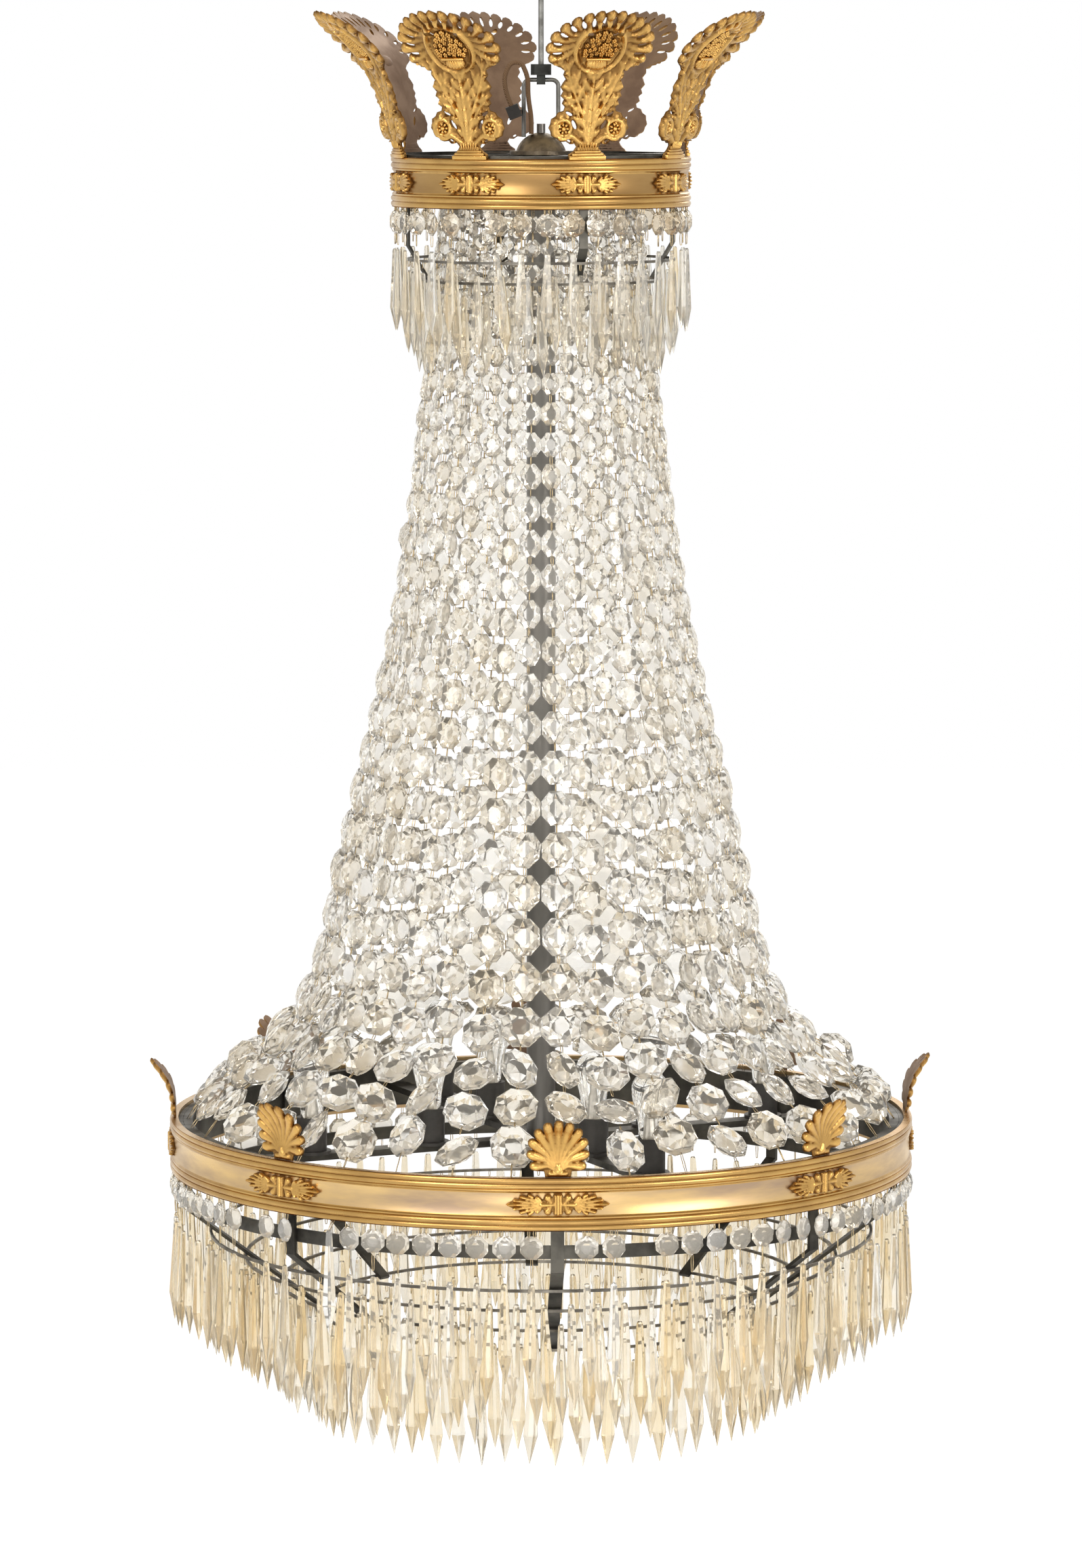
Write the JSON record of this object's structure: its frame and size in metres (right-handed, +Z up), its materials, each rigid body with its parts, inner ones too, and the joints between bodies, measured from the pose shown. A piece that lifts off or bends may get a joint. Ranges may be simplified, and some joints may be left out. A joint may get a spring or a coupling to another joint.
{
  "type": "chandelier",
  "caption": "Empire style tent and basket chandelier: gilt bronze crown and bands, strands of cut octagons and stepped fringes of spear prisms",
  "frame": {"origin": "centre of the bore of the ceiling eye that carries the chandelier", "axes": "+Z up along the stem, +Y along the eye's bore and away from the viewer, -Y the front"},
  "size_m": [0.7368, 0.7368, 1.3636],
  "materials": {
    "band_gilt_bronze": "spun and gilt, with brown patina on the frieze",
    "black_moulding": "matte",
    "brass_pins": "bright drawn wire",
    "bulb_glass": "clear",
    "chased_gilt_bronze": "cast, chased and gilt, dull in the hollows",
    "dark_iron": "blackened flat iron",
    "flex_sheath": "brown, matte",
    "grey_steel": "dull grey",
    "hoop_wire": "drawn wire, dulled",
    "octagon_crystal": "cut and polished clear lead crystal",
    "spear_crystal": "cut and polished crystal, faintly warm"
  },
  "bodies": {
    "hanger": {"hanger_rod": "grey_steel", "hook_block": "grey_steel"},
    "chandelier": {"bottom_nut": "grey_steel", "bulbs": "bulb_glass", "crown_palmette_1": "chased_gilt_bronze", "crown_palmette_2": "chased_gilt_bronze", "crown_palmette_3": "chased_gilt_bronze", "crown_palmette_4": "chased_gilt_bronze", "crown_palmette_5": "chased_gilt_bronze", "crown_palmette_6": "chased_gilt_bronze", "crown_palmette_7": "chased_gilt_bronze", "crown_palmette_8": "chased_gilt_bronze", "dome_cap": "grey_steel", "flex": "flex_sheath", "flex_terminal": "black_moulding", "inner_bar": "dark_iron", "lampholders": "black_moulding", "leaning_spear": "spear_crystal", "lower_band": "band_gilt_bronze", "lower_brackets": "dark_iron", "lower_garland": "octagon_crystal", "lower_garland_pins": "brass_pins", "lower_garland_wires": "brass_pins", "lower_hooks": "brass_pins", "lower_hoops": "hoop_wire", "lower_mounts": "chased_gilt_bronze", "lower_ring": "dark_iron", "lower_shells": "chased_gilt_bronze", "lower_spears_1": "spear_crystal", "lower_spears_2": "spear_crystal", "lower_spears_3": "spear_crystal", "lower_spears_4": "spear_crystal", "lower_spears_5": "spear_crystal", "lower_spider": "dark_iron", "nipple": "grey_steel", "stem": "grey_steel", "stirrup": "grey_steel", "tent_foot_hoop": "dark_iron", "tent_pins_1": "brass_pins", "tent_pins_2": "brass_pins", "tent_strands_1": "octagon_crystal", "tent_strands_2": "octagon_crystal", "tent_strands_3": "octagon_crystal", "tent_strands_4": "octagon_crystal", "tent_top_hoop": "dark_iron", "top_flange": "grey_steel", "upper_band": "band_gilt_bronze", "upper_brackets": "dark_iron", "upper_garland": "octagon_crystal", "upper_hoops": "hoop_wire", "upper_mounts": "chased_gilt_bronze", "upper_pins": "brass_pins", "upper_ring": "dark_iron", "upper_spears_1": "spear_crystal", "upper_spears_2": "spear_crystal", "upper_spears_3": "spear_crystal", "upper_spider": "dark_iron"},
    "loose_spear": {"loose_pendant": "spear_crystal"}
  },
  "joints": [
    {"name": "stirrup_swing", "type": "hinge", "parent": "hanger", "child": "chandelier", "pos_m": [0, 0, -0.0934], "axis": [1, 0, 0], "range_deg": [-10, 10]},
    {"name": "spear_swing", "type": "hinge", "parent": "chandelier", "child": "loose_spear", "pos_m": [0.06513, -0.3388, -1.1374], "axis": [-0.982, -0.1888, 0], "range_deg": [0, 25]}
  ]
}
